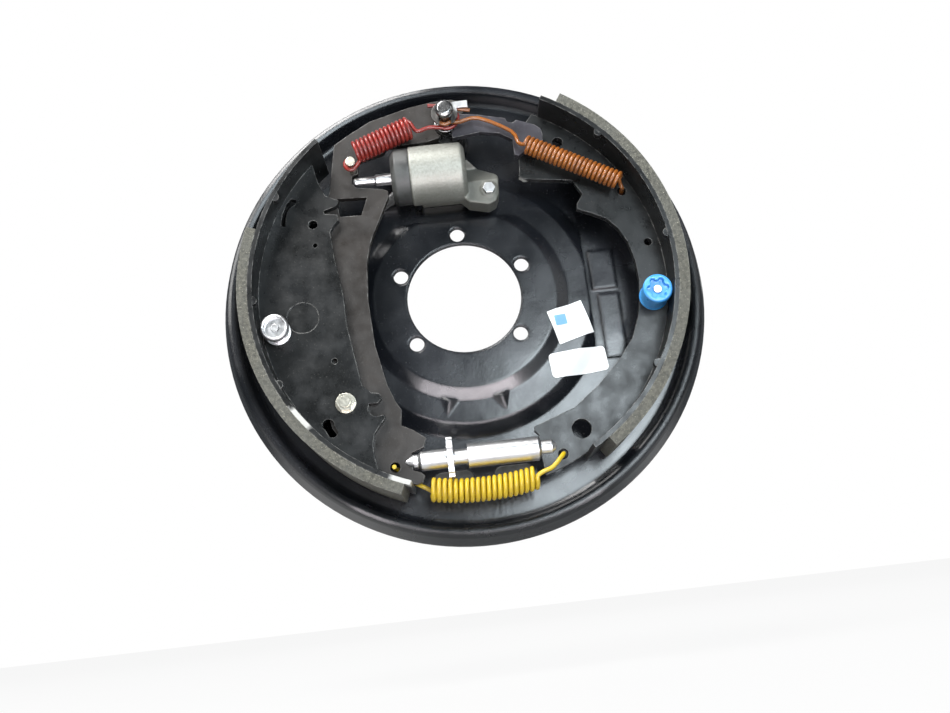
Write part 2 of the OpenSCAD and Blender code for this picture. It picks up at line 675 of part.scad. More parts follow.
function tangent(p, i) = unit(p[min(i + 1, len(p) - 1)] - p[max(i - 1, 0)]);
function carried(n, t) = unit(n - t * (n * t));
function normals(p, i, n) = i == len(p) ? [] : let (m = carried(n, tangent(p, i))) concat([m], normals(p, i + 1, m));

// Round wire along a path
module wire(path, r, sides) {
    n = len(path);
    ns = normals(path, 0, [0.3, 0.8, 0.52]);
    points = [for (i = [0:n - 1]) let (t = tangent(path, i), u = ns[i], v = cross(t, u))
        for (j = [0:sides - 1]) path[i] + r * (u * cos(j * 360 / sides) + v * sin(j * 360 / sides))];
    polyhedron(points, concat(
        [[for (j = [0:sides - 1]) j]],
        [[for (j = [sides - 1:-1:0]) (n - 1) * sides + j]],
        [for (i = [0:n - 2]) for (j = [0:sides - 1]) let (m = (j + 1) % sides)
            [i * sides + j, (i + 1) * sides + j, i * sides + m]],
        [for (i = [0:n - 2]) for (j = [0:sides - 1]) let (m = (j + 1) % sides)
            [i * sides + m, (i + 1) * sides + j, (i + 1) * sides + m]]));
}

coil_rings = 8;
wire_sides = 6;
red_depth = web_front + red_coil_r + red_wire_r + 2.4;
red_from = [-66, 105] * k;
red_to = [-26.6, 120.3] * k;
brown_depth = link_front + brown_coil_r + brown_wire_r + 0.7;
brown_from = [55, 97] * k;
brown_to = [116.5, 61.5] * k;
yellow_from = [-36.5, -137.4] * k;
yellow_to = [34, -137] * k;
yellow_bow = 3.6;
// Room that the hook leaves for the lever to move off the anchor
hook_room = 2.6;

module lever_return_spring() color([0.55, 0.1, 0.09]) wire(concat(
    ring([spring_post[0], red_depth, spring_post[1]], post_pin_r + red_wire_r + 0.5, 90, 300, 9),
    coil([red_from[0], red_depth, red_from[1]], [red_to[0], red_depth, red_to[1]], red_coil_r, red_turns,
        coil_rings, 180),
    [for (p = [[-22.5, 2, 122], [-19, 2, 117], [-12, 0, 117]]) front([p[0] * k, red_depth + p[1], p[2] * k])],
    ring([anchor[0] + hook_room / 2, red_depth, anchor[1]], neck_r + red_wire_r + hook_room / 2 + 0.2, 240, 450,
        12)), red_wire_r, wire_sides);

module shoe_return_spring() color([0.5, 0.26, 0.09]) wire(concat(
    ring([anchor[0], brown_depth + 2.6, anchor[1]], neck_r + brown_wire_r + 0.3, 90, 300, 12),
    [for (p = [[10.5, 1, 119.5], [24, 0, 121.5], [46, 0, 108.5], [50, 0, 99]])
        front([p[0] * k, brown_depth + p[1], p[2] * k])],
    coil([brown_from[0], brown_depth, brown_from[1]], [brown_to[0], brown_depth, brown_to[1]], brown_coil_r,
        brown_turns, coil_rings, 60),
    [front([return_hole[0] - 1.4, brown_depth - 4, return_hole[1] - 1]),
        front([return_hole[0], link_front - 2, return_hole[1]]),
        front([return_hole[0], web_depth - 2.5, return_hole[1]])]), brown_wire_r, wire_sides);

module adjuster_spring() color([0.72, 0.58, 0.06]) wire(concat(
    [front([lever_spring_hole[0] - 0.4, web_front + 3, lever_spring_hole[1]]),
        front([lever_spring_hole[0] - 0.4, web_depth - 3, lever_spring_hole[1]]),
        front([lever_spring_hole[0] + 3, web_depth - 5, lever_spring_hole[1] - 1.5]),
        front([-48 * k, web_depth - 5, -130 * k])],
    coil([yellow_from[0], lever_mid, yellow_from[1]], [yellow_to[0], lever_mid, yellow_to[1]], yellow_coil_r,
        yellow_turns, coil_rings, 270, yellow_bow),
    [front([38.5 * k, web_front + 5, -134.5 * k]), front([45 * k, web_front + 4, -132 * k]),
        front([shoe_spring_hole[0], web_front + 1, shoe_spring_hole[1]]),
        front([shoe_spring_hole[0], web_depth - 3, shoe_spring_hole[1]])]), yellow_wire_r, wire_sides);

// Hold-downs: the pin comes through the plate, and the cup holds the spring against the web

cup_wall = 1.4;
flange = 1.6;
lobe_ring_r = 5.6;
lobe_r = 2;

module hold_pin(at, front_depth) color([0.7, 0.7, 0.66]) {
    bar(at, plate_back - 2, 5, 2);
    bar(at, plate_back, pin_r, front_depth - plate_back - 2);
    bar(at, front_depth - 2, pin_r, 1, pin_r + 0.5);
}

// Turned cup: a flange on the web, a narrower body and a dished head round the pin
module hold_cup(at, base, h, r, body_r, lobes = 0) difference() {
    union() {
        bar(at, base, r - 0.2, flange);
        bar(at, base, body_r, h - 5);
        bar(at, base + h - 6, body_r, 1.5, r);
        bar(at, base + h - 4.5, r, 3.5);
        bar(at, base + h - 1, r, 1, r - 1);
    }
    bar(at, base + h - 3.2, lobes > 0 ? lobe_ring_r : r - 2, 4);
    if (lobes > 0) for (i = [0:lobes - 1])
        bar(at + lobe_ring_r * [cos(360 / lobes * i), sin(360 / lobes * i)], base + h - 3.2, lobe_r, 4);
    bar(at, base - 1, body_r - cup_wall, h - 4);
    bar(at, base - 1, pin_r + 0.4, h + 2);
}

module hold_spring(at, base, h, r) color([0.6, 0.6, 0.6]) wire(
    coil([at[0], base + 1, at[1]], [at[0], base + h, at[1]], r, 3.5, 10, 0), 0.8, 6);

left_base = primary_front + rest_gap;
right_base = web_front + rest_gap;
left_body_r = left_cup_r - 2;
right_body_r = right_cup_r - 0.8;

module left_hold_down_pin() hold_pin(left_hold, left_base + left_cup_h - 1.2);
module left_hold_down_cup() color([0.8, 0.81, 0.82])
    hold_cup(left_hold, left_base, left_cup_h, left_cup_r, left_body_r);
module left_hold_down_spring() hold_spring(left_hold, left_base, left_cup_h - 6.3, left_body_r - cup_wall - 1);
module right_hold_down_pin() hold_pin(right_hold, right_base + right_cup_h - 1.2);
module right_hold_down_cup() color([0.1, 0.42, 0.78])
    hold_cup(right_hold, right_base, right_cup_h, right_cup_r, right_body_r, 6);
module right_hold_down_spring() hold_spring(right_hold, right_base, right_cup_h - 6.3, right_body_r - cup_wall - 1);

backing_plate();
plate_plugs();
anchor_post();
anchor_collar();
anchor_nut();
anchor_clip();
cylinder_body();
cylinder_bolts();
bleeder_screw();
piston();
piston_cup();
cylinder_spring();
push_rod();
dust_boot();
primary_lever();
pivot_pin();
pivot_nut();
spring_pin();
primary_shoe();
primary_lining();
secondary_shoe();
anchor_link();
secondary_lining();
adjuster_sleeve();
adjuster_nut();
star_screw();
lever_return_spring();
shoe_return_spring();
adjuster_spring();
left_hold_down_pin();
left_hold_down_cup();
left_hold_down_spring();
right_hold_down_pin();
right_hold_down_cup();
right_hold_down_spring();
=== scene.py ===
import json
import math
import bpy
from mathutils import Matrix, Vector

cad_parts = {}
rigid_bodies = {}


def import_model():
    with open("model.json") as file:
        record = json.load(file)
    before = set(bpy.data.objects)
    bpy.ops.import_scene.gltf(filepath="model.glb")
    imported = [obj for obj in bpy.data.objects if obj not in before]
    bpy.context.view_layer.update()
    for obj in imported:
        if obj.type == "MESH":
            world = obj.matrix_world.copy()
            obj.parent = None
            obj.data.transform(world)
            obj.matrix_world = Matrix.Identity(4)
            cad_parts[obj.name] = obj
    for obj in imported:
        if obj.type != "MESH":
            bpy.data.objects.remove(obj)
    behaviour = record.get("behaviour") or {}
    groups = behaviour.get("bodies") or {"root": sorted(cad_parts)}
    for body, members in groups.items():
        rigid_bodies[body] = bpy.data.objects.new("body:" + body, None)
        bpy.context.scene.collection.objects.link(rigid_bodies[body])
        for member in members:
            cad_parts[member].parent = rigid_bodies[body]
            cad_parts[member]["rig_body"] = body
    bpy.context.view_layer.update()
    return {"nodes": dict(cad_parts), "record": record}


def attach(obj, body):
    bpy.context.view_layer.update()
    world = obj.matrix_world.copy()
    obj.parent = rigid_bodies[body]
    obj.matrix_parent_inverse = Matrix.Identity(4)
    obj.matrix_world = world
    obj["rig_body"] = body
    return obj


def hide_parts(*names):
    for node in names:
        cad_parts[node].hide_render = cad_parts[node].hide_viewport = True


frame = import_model()
nodes = frame["nodes"]
print("stage: frame loaded,", len(nodes), "nodes")

# Camera first: found from the five bolt holes and the hub bore

cameraSettings = {
    "place": (-0.01246, -0.63381, -0.21474),
    "turn": (105.1724, 6.3805, 0.343),
    "lens": 35.0,
    "nearest": 0.01,
}


def clearSelection():
    bpy.ops.object.select_all(action="DESELECT")
    bpy.context.view_layer.objects.active = None


def addCamera():
    clearSelection()
    turn = [math.radians(a) for a in cameraSettings["turn"]]
    bpy.ops.object.camera_add(location=cameraSettings["place"], rotation=turn)
    camera = bpy.context.object
    camera.data.lens = cameraSettings["lens"]
    camera.data.clip_start = cameraSettings["nearest"]
    bpy.context.scene.camera = camera


addCamera()
print("stage: camera")


# Shader maths: a wrapped socket takes part in ordinary sums

class Wire:
    def __init__(self, finish, socket):
        self.finish = finish
        self.socket = socket

    def __add__(self, other):
        return self.finish.sum("ADD", self, other)

    __radd__ = __add__

    def __mul__(self, other):
        return self.finish.sum("MULTIPLY", self, other)

    __rmul__ = __mul__

    def __sub__(self, other):
        return self.finish.sum("SUBTRACT", self, other)

    def __rsub__(self, other):
        return self.finish.sum("SUBTRACT", other, self)


class Finish:
    def __init__(self, name):
        self.material = bpy.data.materials.new(name)
        self.material.use_nodes = True
        self.tree = self.material.node_tree
        self.tree.nodes.clear()
        self.place = self.node("ShaderNodeTexCoord", out="Object")

    def node(self, kind, settings=None, values=None, out=0):
        made = self.tree.nodes.new(kind)
        for key, value in (settings or {}).items():
            setattr(made, key, value)
        for key, value in (values or {}).items():
            if isinstance(value, Wire):
                self.tree.links.new(value.socket, made.inputs[key])
            else:
                made.inputs[key].default_value = value
        return Wire(self, made.outputs[out])

    def sum(self, operation, first, second):
        return self.node("ShaderNodeMath", {"operation": operation}, {0: first, 1: second})

    def measure(self, operation, first, second):
        return self.node("ShaderNodeVectorMath", {"operation": operation}, {0: first, 1: second}, out="Value")

    def along(self, axis):
        return self.node("ShaderNodeSeparateXYZ", None, {"Vector": self.place}, out=axis)

    def noise(self, scale, detail=3.0, stretch=None, rough=0.55):
        place = self.place
        if stretch:
            place = self.node("ShaderNodeMapping", None, {"Vector": place, "Scale": stretch})
        return self.node("ShaderNodeTexNoise", None,
                         {"Vector": place, "Scale": scale, "Detail": detail, "Roughness": rough})

    def cells(self, scale):
        return self.node("ShaderNodeTexVoronoi", {"feature": "F1"}, {"Vector": self.place, "Scale": scale})

    def spread(self, value, low, high, least=0.0, most=1.0):
        return self.node("ShaderNodeMapRange", None,
                         {0: value, 1: low, 2: high, 3: least, 4: most})

    def mix(self, factor, first, second):
        return self.node("ShaderNodeMix", {"data_type": "RGBA"}, {0: factor, 6: first, 7: second}, out=2)

    def rounded(self, radius, height, strength, distance):
        edge = self.node("ShaderNodeBevel", {"samples": 6}, {"Radius": radius})
        return self.node("ShaderNodeBump", None,
                         {"Height": height, "Strength": strength, "Distance": distance, "Normal": edge})

    def worn(self, radius):
        # one on sharp edges, broken up by noise
        soft = self.node("ShaderNodeBevel", {"samples": 4}, {"Radius": radius})
        plain = self.node("ShaderNodeNewGeometry", out="Normal")
        edge = self.spread(1.0 - self.measure("DOT_PRODUCT", soft, plain), 0.015, 0.12)
        return edge * self.spread(self.noise(240.0, 4.0), 0.42, 0.62)

    def near(self, place, reach):
        # one within reach of a place, with a ragged border
        away = self.measure("DISTANCE", self.place, place)
        return self.spread(away + self.noise(300.0, 4.0) * reach * 0.5, reach * 1.2, reach * 0.9)

    def shade(self, shader):
        self.tree.links.new(shader.socket, self.tree.nodes.new("ShaderNodeOutputMaterial").inputs["Surface"])
        return self.material

    def finish(self, values):
        return self.shade(self.node("ShaderNodeBsdfPrincipled", None, values))


def tone(red, green=None, blue=None):
    green = red if green is None else green
    blue = red if blue is None else blue
    return (red, green, blue, 1.0)


# Black gloss paint of the pressed plate
plateSettings = {
    "paint": tone(0.006, 0.007, 0.009), "worn": tone(0.02, 0.021, 0.026), "dust": tone(0.12, 0.115, 0.11),
    "gloss": 0.17, "dull": 0.32, "edge": 0.0032, "coat": 0.2, "coatRough": 0.1,
}


def platePaint():
    s = plateSettings
    f = Finish("plateGlossPaint")
    specks = f.spread(f.noise(900.0, 1.0), 0.72, 0.77)
    base = f.mix(f.spread(f.noise(14.0, 4.0), 0.45, 0.8), s["paint"], s["worn"])
    base = f.mix(specks * 0.35, base, s["dust"])
    rough = f.spread(f.noise(26.0, 5.0), 0.35, 0.7, s["gloss"], s["dull"])
    waves = f.noise(420.0, 2.0) * 0.4 + f.noise(38.0, 2.0) * 2.2
    return f.finish({
        "Base Color": base, "Roughness": rough, "Coat Weight": s["coat"], "Coat Roughness": s["coatRough"],
        "Normal": f.rounded(s["edge"], waves, 0.16, 0.0007)})


# Thin dull paint on flat steel, rubbed at its edges and scraped bare in a few places
dullSettings = {
    "speck": tone(0.25, 0.24, 0.22), "rubbed": tone(0.42, 0.41, 0.39), "bare": tone(0.62, 0.61, 0.58),
    "edge": 0.0006, "wear": 0.5, "specular": 0.36, "coatRough": 0.2,
    "shoeScrapes": [((-0.052, -0.05, -0.134), 0.012), ((-0.118, -0.0515, -0.088), 0.012),
                    ((0.0505, -0.022, 0.077), 0.0045)],
}


def dullPaint(name, paint, light, rough, scraped=()):
    s = dullSettings
    f = Finish(name)
    cloud = f.spread(f.noise(35.0, 5.0), 0.38, 0.68)
    streak = f.spread(f.noise(160.0, 3.0, (1.0, 1.0, 0.25)), 0.5, 0.75)
    specks = f.spread(f.noise(1100.0, 1.0), 0.7, 0.75)
    base = f.mix(cloud * 0.6 + streak * 0.3, paint, light)
    base = f.mix(specks * 0.2, base, s["speck"])
    base = f.mix(f.worn(s["edge"] * 1.6) * s["wear"], base, s["rubbed"])
    for place, reach in scraped:
        base = f.mix(f.near(place, reach) * 0.85, base, s["bare"])
    return f.finish({
        "Base Color": base, "Roughness": f.spread(f.noise(80.0, 4.0), 0.3, 0.7, rough - 0.1, rough + 0.12),
        "Coat Roughness": s["coatRough"], "Specular IOR Level": s["specular"],
        "Normal": f.rounded(s["edge"], f.noise(700.0, 3.0) * 0.7 + cloud * 0.3, 0.2, 0.0004)})


liningSettings = {
    "dark": tone(0.035, 0.034, 0.026), "pale": tone(0.14, 0.135, 0.11), "worn": tone(0.1, 0.1, 0.088),
    "brass": tone(0.5, 0.46, 0.36), "rubbed": tone(0.4, 0.39, 0.35), "edge": 0.0007,
}


def frictionLining():
    s = liningSettings
    f = Finish("liningCompound")
    grain = f.noise(480.0, 5.0, rough=0.7)
    base = f.mix(f.spread(grain, 0.34, 0.66), s["dark"], s["pale"])
    base = f.mix(f.spread(f.noise(45.0, 4.0), 0.42, 0.7) * 0.55, base, s["worn"])
    base = f.mix(f.spread(f.noise(1300.0, 1.0), 0.7, 0.73) * 0.6, base, s["brass"])
    base = f.mix(f.worn(0.0009) * 0.55, base, s["rubbed"])
    return f.finish({
        "Base Color": base, "Roughness": f.spread(grain, 0.3, 0.7, 0.62, 0.9),
        "Normal": f.rounded(s["edge"], grain * 1.2 + f.cells(380.0) * 0.8, 0.8, 0.0009)})


def plating(name, colour, dark, rough):
    f = Finish(name)
    cloud = f.spread(f.noise(60.0, 3.0), 0.3, 0.8)
    brush = f.noise(500.0, 2.0)
    return f.finish({
        "Base Color": f.mix(cloud, colour, dark), "Metallic": 1.0,
        "Roughness": f.spread(brush, 0.3, 0.7, rough - 0.05, rough + 0.06),
        "Normal": f.rounded(0.0004, brush * 0.4 + cloud * 0.2, 0.05, 0.0002)})


# Dark retaining clip, with a painted highlight on its tail
clipSettings = {
    "dark": tone(0.13, 0.125, 0.12), "paintedHighlight": tone(0.82, 0.83, 0.84),
    "tail": (0.0125, -0.0437, 0.1308), "reach": 0.0075,
}


def clipFinish():
    s = clipSettings
    f = Finish("darkClipPaintedTailHighlight")
    return f.finish({
        # painted highlight: the tail is lightened within reach of one spot
        "Base Color": f.mix(f.near(s["tail"], s["reach"]), s["dark"], s["paintedHighlight"]), "Metallic": 1.0,
        "Roughness": f.spread(f.noise(300.0, 3.0), 0.3, 0.7, 0.28, 0.42),
        "Normal": f.rounded(0.0004, f.noise(500.0, 2.0), 0.06, 0.0002)})


# Wheel cylinder: sand-cast skin, with painted shade on the lug past its barrel and painted shade on the
# underside
castingSettings = {
    "dark": tone(0.25, 0.25, 0.22), "pale": tone(0.36, 0.365, 0.33), "stain": tone(0.17, 0.165, 0.145),
    # painted shade tones for the lug and the underside, with where each begins
    "lugShade": tone(0.075, 0.077, 0.068), "lugShadeFrom": (0.0085, 0.012),
    "underShade": tone(0.1, 0.1, 0.085), "underShadeFrom": (0.08, 0.064), "metal": 0.45, "edge": 0.0014,
}


def rawCasting():
    s = castingSettings
    f = Finish("greyCasting")
    sand = f.noise(520.0, 4.0, rough=0.6)
    base = f.mix(f.spread(sand, 0.3, 0.7), s["dark"], s["pale"])
    base = f.mix(f.spread(f.noise(32.0, 4.0), 0.42, 0.7) * 0.6, base, s["stain"])
    # painted shade: the lug past the barrel's end is darkened
    base = f.mix(f.spread(f.along("X"), *s["lugShadeFrom"]) * 0.62, base, s["lugShade"])
    # painted shade: the casting darkens towards its underside
    base = f.mix(f.spread(f.along("Z"), *s["underShadeFrom"]) * 0.4, base, s["underShade"])
    return f.finish({
        "Base Color": base, "Metallic": s["metal"], "Roughness": f.spread(sand, 0.3, 0.7, 0.42, 0.6),
        "Normal": f.rounded(s["edge"], sand * 0.8 + f.cells(600.0) * 0.4, 0.3, 0.0006)})


def mouldedRubber():
    f = Finish("mouldedRubber")
    bloom = f.spread(f.noise(70.0, 4.0), 0.4, 0.7)
    return f.finish({
        "Base Color": f.mix(bloom, tone(0.03, 0.031, 0.03), tone(0.09, 0.092, 0.088)),
        "Roughness": f.spread(bloom, 0.0, 1.0, 0.42, 0.62),
        "Normal": f.rounded(0.001, f.noise(800.0, 4.0), 0.2, 0.0004)})


springFinish = {"chip": tone(0.16, 0.14, 0.12), "coat": 0.25, "coatRough": 0.15, "edge": 0.0002}


def springPaint(name, colour, dark, rough):
    s = springFinish
    f = Finish(name)
    cloud = f.spread(f.noise(110.0, 4.0), 0.38, 0.68)
    base = f.mix(cloud * 0.7, colour, dark)
    base = f.mix(f.spread(f.noise(650.0, 2.0), 0.68, 0.72) * 0.6, base, s["chip"])
    return f.finish({
        "Base Color": base, "Roughness": f.spread(cloud, 0.0, 1.0, rough - 0.06, rough + 0.1),
        "Coat Weight": s["coat"], "Coat Roughness": s["coatRough"],
        "Normal": f.rounded(s["edge"], f.noise(900.0, 2.0), 0.12, 0.0003)})


cupFinish = {"deep": tone(0.045, 0.3, 0.74), "pale": tone(0.1, 0.46, 0.86), "coat": 0.3, "coatRough": 0.1}


def cupCoating():
    s = cupFinish
    f = Finish("blueCupCoating")
    cloud = f.spread(f.noise(60.0, 3.0), 0.4, 0.7)
    return f.finish({
        "Base Color": f.mix(cloud * 0.5, s["deep"], s["pale"]),
        "Roughness": f.spread(f.noise(200.0, 3.0), 0.3, 0.7, 0.26, 0.4),
        "Coat Weight": s["coat"], "Coat Roughness": s["coatRough"],
        "Normal": f.rounded(0.0005, f.noise(300.0, 3.0), 0.08, 0.0004)})


def labelPaper(name, colour, soiled):
    f = Finish(name)
    smear = f.spread(f.noise(60.0, 4.0), 0.45, 0.75)
    return f.finish({
        "Base Color": f.mix(smear * 0.5, colour, soiled), "Roughness": f.spread(smear, 0.0, 1.0, 0.42, 0.6),
        "Normal": f.rounded(0.0002, f.noise(250.0, 3.0), 0.08, 0.0004)})


finishes = {
    "plate_black": platePaint(),
    "shoe_paint": dullPaint("shoeGreyPaint", tone(0.007, 0.0075, 0.0075), tone(0.02, 0.021, 0.022), 0.32,
                            dullSettings["shoeScrapes"]),
    "lever_steel": dullPaint("leverBrownPaint", tone(0.022, 0.019, 0.017), tone(0.045, 0.039, 0.035), 0.36),
    "link_steel": dullPaint("linkPhosphate", tone(0.03, 0.028, 0.034), tone(0.1, 0.095, 0.11), 0.38),
    "dark_steel": dullPaint("blackOxide", tone(0.012, 0.012, 0.013), tone(0.035, 0.034, 0.033), 0.38),
    "lining": frictionLining(),
    "zinc": plating("brightZinc", tone(0.76, 0.77, 0.78), tone(0.58, 0.58, 0.58), 0.34),
    "zinc_yellow": plating("yellowZinc", tone(0.62, 0.6, 0.52), tone(0.46, 0.44, 0.37), 0.34),
    "post_steel": plating("postSteel", tone(0.34, 0.34, 0.34), tone(0.2, 0.197, 0.195), 0.24),
    "piston_metal": plating("turnedPiston", tone(0.75, 0.75, 0.74), tone(0.6, 0.6, 0.6), 0.3),
    "casting": rawCasting(),
    "rubber": mouldedRubber(),
    "red_spring": springPaint("redSpringPaint", tone(0.3, 0.026, 0.018), tone(0.15, 0.014, 0.012), 0.34),
    "brown_spring": springPaint("copperSpringPaint", tone(0.32, 0.1, 0.016), tone(0.15, 0.048, 0.012), 0.3),
    "yellow_spring": springPaint("yellowSpringPaint", tone(0.66, 0.45, 0.012), tone(0.46, 0.3, 0.012), 0.34),
    "blue_cup": cupCoating(),
    "label_paper": labelPaper("labelPaper", tone(0.96, 0.96, 0.955), tone(0.88, 0.875, 0.86)),
}


def dress(piece, finish):
    piece.data.materials.clear()
    piece.data.materials.append(finish)


for part in frame["record"]["subparts"]:
    dress(nodes[part["node"]], finishes[part["material_slot"]])
dress(nodes["anchor_clip"], clipFinish())
print("stage: finishes on the CAD nodes")


# Cast, turned and moulded pieces whose real edges are soft: a copy of the solid, remeshed finely and smoothed.
# Voxels are in millimetres.

softened = {
    "cylinder_body": {"voxel": 0.55, "rounds": 7, "slot": "casting", "cut": True},
    "dust_boot": {"voxel": 0.5, "rounds": 6, "slot": "rubber", "cut": False},
    "anchor_post": {"voxel": 0.35, "rounds": 14, "slot": "post_steel", "cut": False},
    "left_hold_down_cup": {"voxel": 0.32, "rounds": 4, "slot": "zinc", "cut": False},
    "right_hold_down_cup": {"voxel": 0.32, "rounds": 4, "slot": "blue_cup", "cut": False},
}
noseCut = {"at": (31.0, -24.7, 79.5), "tilt": 50.8, "side": 40.0}  # sloping face on the cylinder's lug
meshSettings = {"merge": 0.00001, "smoothing": 0.5, "softEdge": 60, "wireEdge": 50, "labelEdge": 35}


def applyAll(piece):
    clearSelection()
    piece.select_set(True)
    bpy.context.view_layer.objects.active = piece
    for name in [m.name for m in piece.modifiers]:
        bpy.ops.object.modifier_apply(modifier=name)


def standFor(piece, node):
    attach(piece, nodes[node]["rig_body"])
    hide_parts(node)


def slopeCutter():
    s = noseCut
    clearSelection()
    bpy.ops.mesh.primitive_cube_add(size=s["side"] / 1000, location=(0, 0, 0))
    cutter = bpy.context.object
    bpy.ops.object.mode_set(mode="EDIT")
    bpy.ops.mesh.select_all(action="SELECT")
    bpy.ops.transform.translate(value=(0, 0, s["side"] / 2000))
    bpy.ops.transform.rotate(value=math.radians(-s["tilt"]), orient_axis="X", center_override=(0, 0, 0))
    bpy.ops.transform.translate(value=[v / 1000 for v in s["at"]])
    bpy.ops.object.mode_set(mode="OBJECT")
    return cutter


def cutSlope(piece):
    cutter = slopeCutter()
    cut = piece.modifiers.new("slope", "BOOLEAN")
    cut.operation = "DIFFERENCE"
    cut.object = cutter
    applyAll(piece)
    bpy.data.objects.remove(cutter)


def soften(node, s):
    clearSelection()
    bpy.ops.mesh.primitive_cube_add(size=0.01, location=(0, 0, 0))
    piece = bpy.context.object
    piece.name = node.replace("_", "-") + "-soft"
    piece.data = nodes[node].data.copy()
    piece.data.transform(nodes[node].matrix_world)
    bpy.ops.object.mode_set(mode="EDIT")
    bpy.ops.mesh.select_all(action="SELECT")
    bpy.ops.mesh.remove_doubles(threshold=meshSettings["merge"])
    bpy.ops.mesh.normals_make_consistent(inside=False)
    bpy.ops.object.mode_set(mode="OBJECT")
    if s["cut"]:
        cutSlope(piece)
    grid = piece.modifiers.new("grid", "REMESH")
    grid.mode = "VOXEL"
    grid.voxel_size = s["voxel"] / 1000
    smooth = piece.modifiers.new("smooth", "SMOOTH")
    smooth.factor = meshSettings["smoothing"]
    smooth.iterations = s["rounds"]
    applyAll(piece)
    bpy.ops.object.shade_smooth_by_angle(angle=math.radians(meshSettings["softEdge"]))
    return piece


for node, s in softened.items():
    piece = soften(node, s)
    dress(piece, finishes[s["slot"]])
    standFor(piece, node)
    print("softened", node, len(piece.data.polygons), "faces")
print("stage: softened pieces")


# Springs: the wire of each is a swept path with a true round section.
# Points are (x, depth towards the open side, z) in millimetres.

def ringPath(at, radius, start, stop, count):
    x, depth, z = at
    turns = [math.radians(start + (stop - start) * i / count) for i in range(count + 1)]
    return [(x + radius * math.cos(a), depth, z + radius * math.sin(a)) for a in turns]


springs = {
    "lever_return_spring": {
        "slot": "red_spring", "wire": 1.4, "coil": 7.0, "turns": 13.5, "phase": 0, "bow": 0.0,
        "from": (-66.0, 37.0, 105.0), "to": (-26.6, 37.0, 120.3),
        "lead": ringPath((-70.0, 36.0, 97.0), 4.2, 90, 300, 9),  # hook round the lever's pin
        "tail": [(-25.1, 38.0, 123.5), (-20.9, 38.5, 116.2), (-12.0, 37.0, 119.0)]
        + ringPath((1.3, 37.0, 125.0), 8.1, 240, 450, 12)  # hook round the anchor post
        + [(-4.4, 38.0, 134.8), (-11.3, 38.0, 135.8)],
    },
    "shoe_return_spring": {
        "slot": "brown_spring", "wire": 1.4, "coil": 5.4, "turns": 22.5, "phase": 60, "bow": 0.0,
        "from": (55.0, 38.7, 97.0), "to": (116.5, 38.7, 61.5),
        "lead": [(18.4, 40.2, 127.6), (9.0, 40.6, 129.6)]
        + ringPath((0.0, 41.3, 125.0), 6.9, 90, 300, 12)
        + [(10.5, 39.7, 119.5), (24.0, 38.7, 121.5), (46.0, 38.7, 108.5), (50.0, 38.7, 99.0)],
        "tail": [(118.6, 34.7, 58.0), (120.0, 29.2, 59.0), (120.0, 18.7, 59.0)],  # down through the web
    },
    "adjuster_spring": {
        "slot": "yellow_spring", "wire": 1.5, "coil": 6.8, "turns": 19.5, "phase": 270, "bow": 3.6,
        "from": (-36.5, 23.7, -137.4), "to": (34.0, 23.7, -137.0),
        "lead": [(-58.9, 29.2, -120.5), (-58.9, 18.2, -120.5), (-55.5, 16.2, -122.0), (-48.0, 16.2, -130.0)],
        "tail": [(38.5, 31.2, -134.5), (45.0, 30.2, -132.0), (53.0, 27.2, -124.0), (53.0, 18.2, -124.0)],
    },
}
wireSettings = {"pointsPerTurn": 12, "stepsBetween": 3, "roundness": 3}


def coilPath(s):
    first, last = Vector(s["from"]), Vector(s["to"])
    line = (last - first).normalized()
    up = line.cross(Vector((0, -1, 0))).normalized()
    across = line.cross(up)
    count = round(s["turns"] * wireSettings["pointsPerTurn"])
    path = []
    for i in range(count + 1):
        t = i / count
        a = math.radians(s["phase"] + 360 * s["turns"] * t)
        sag = Vector((0, 0, s["bow"] * (1 - (2 * t - 1) ** 2)))
        swing = up * s["coil"] * math.cos(a) + across * s["coil"] * math.sin(a)
        path.append(tuple(first.lerp(last, t) + swing - sag))
    return path


def smoothPath(points):
    # a curve through every point, with even steps between
    steps = wireSettings["stepsBetween"]
    path = []
    for i in range(len(points) - 1):
        p = [Vector(points[min(max(i + j, 0), len(points) - 1)]) for j in (-1, 0, 1, 2)]
        slope = p[2] - p[0]
        curve = 2 * p[0] - 5 * p[1] + 4 * p[2] - p[3]
        twist = 3 * p[1] - p[0] - 3 * p[2] + p[3]
        for k in range(steps):
            t = k / steps
            path.append(tuple(0.5 * (2 * p[1] + slope * t + curve * t * t + twist * t ** 3)))
    return path + [tuple(points[-1])]


def sweepWire(name, path, radius):
    clearSelection()
    bpy.ops.curve.primitive_nurbs_path_add(location=(0, 0, 0))
    wire = bpy.context.object
    wire.name = name
    curve = wire.data
    curve.splines.clear()
    spline = curve.splines.new("POLY")
    spline.points.add(len(path) - 1)
    for point, (x, depth, z) in zip(spline.points, path):
        point.co = (x / 1000, -depth / 1000, z / 1000, 1.0)
    curve.dimensions = "3D"
    curve.twist_mode = "MINIMUM"
    curve.bevel_depth = radius / 1000
    curve.bevel_resolution = wireSettings["roundness"]
    curve.use_fill_caps = True
    bpy.ops.object.convert(target="MESH")
    wire = bpy.context.object
    bpy.ops.object.mode_set(mode="EDIT")
    bpy.ops.mesh.select_all(action="SELECT")
    bpy.ops.mesh.normals_make_consistent(inside=False)
    bpy.ops.object.mode_set(mode="OBJECT")
    bpy.ops.object.shade_smooth_by_angle(angle=math.radians(meshSettings["wireEdge"]))
    return wire


for node, s in springs.items():
    path = smoothPath(s["lead"] + coilPath(s) + s["tail"])
    wire = sweepWire(node.replace("_", "-") + "-wire", path, s["wire"])
    dress(wire, finishes[s["slot"]])
    standFor(wire, node)
print("stage: springs")


# Stuck-on labels, left blank: thin sheets drawn flat and laid over the pressed plate, in millimetres

